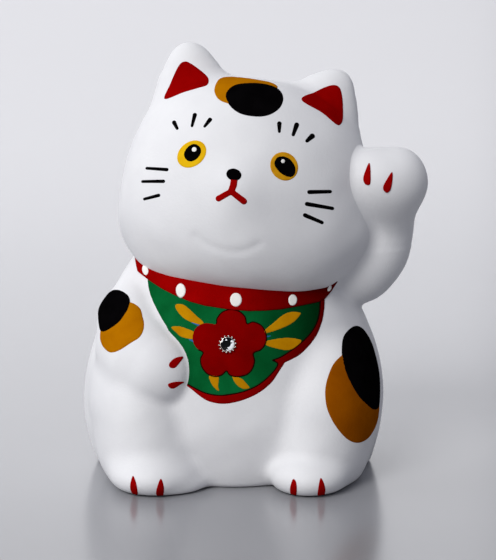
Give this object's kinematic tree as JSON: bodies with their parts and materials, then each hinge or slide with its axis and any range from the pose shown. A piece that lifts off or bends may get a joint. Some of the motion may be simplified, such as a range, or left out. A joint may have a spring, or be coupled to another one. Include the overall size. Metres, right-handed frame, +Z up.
{
  "type": "beckoning cat figurine",
  "caption": "Seated hollow ceramic cat with one front paw raised, a painted bib with a set crystal on its flower, and a pull-out rubber bung in its base.",
  "frame": {"origin": "middle of the figurine's footprint box, on the surface it stands on", "axes": "+Z up through the head, the cat faces -Y, +X is the cat's left, where its paw is raised"},
  "size_m": [0.1, 0.087, 0.1235],
  "materials": {
    "white_ceramic": "matt white hand-painted earthenware",
    "white_enamel": "satin enamel",
    "red_enamel": "satin enamel",
    "green_enamel": "satin enamel",
    "ochre_enamel": "satin enamel",
    "yellow_enamel": "satin enamel",
    "black_enamel": "satin enamel",
    "setting_metal": "bright plated beads",
    "crystal_glass": "faceted clear glass with a foiled back",
    "rubber": "soft off-white"
  },
  "bodies": {
    "cat": {"arm_patch_black": "black_enamel", "arm_patch_ochre": "ochre_enamel", "bib_edging": "red_enamel", "bib_leaf_1": "ochre_enamel", "bib_leaf_2": "ochre_enamel", "bib_leaf_3": "ochre_enamel", "bib_leaf_4": "ochre_enamel", "bib_leaf_5": "ochre_enamel", "bib_leaf_6": "ochre_enamel", "bib_panel": "green_enamel", "body_shell": "white_ceramic", "collar_band": "red_enamel", "collar_dot_1": "white_enamel", "collar_dot_2": "white_enamel", "collar_dot_3": "white_enamel", "collar_dot_4": "white_enamel", "crystal": "crystal_glass", "ear_left": "white_ceramic", "ear_lining_left": "red_enamel", "ear_lining_right": "red_enamel", "ear_right": "white_ceramic", "foot_claw_left_1": "red_enamel", "foot_claw_left_2": "red_enamel", "foot_claw_right_1": "red_enamel", "foot_claw_right_2": "red_enamel", "foot_left": "white_ceramic", "foot_right": "white_ceramic", "head_patch_black": "black_enamel", "head_patch_ochre": "ochre_enamel", "head_shell": "white_ceramic", "hip_patch_black": "black_enamel", "hip_patch_ochre": "ochre_enamel", "iris_left": "yellow_enamel", "iris_right": "yellow_enamel", "mouth": "red_enamel", "nose": "black_enamel", "plum_flower": "red_enamel", "pupil_left": "black_enamel", "pupil_right": "black_enamel", "raised_arm": "white_ceramic", "raised_claw_1": "red_enamel", "raised_claw_2": "red_enamel", "resting_arm": "white_ceramic", "resting_claw_1": "red_enamel", "resting_claw_2": "red_enamel", "stone_setting": "setting_metal", "tail": "white_ceramic"},
    "bung": {"stopper": "rubber"}
  },
  "joints": [
    {"name": "stopper_pull", "type": "slide", "parent": "cat", "child": "bung", "axis": [0, 0, -1], "range_m": [0, 0.02]}
  ]
}
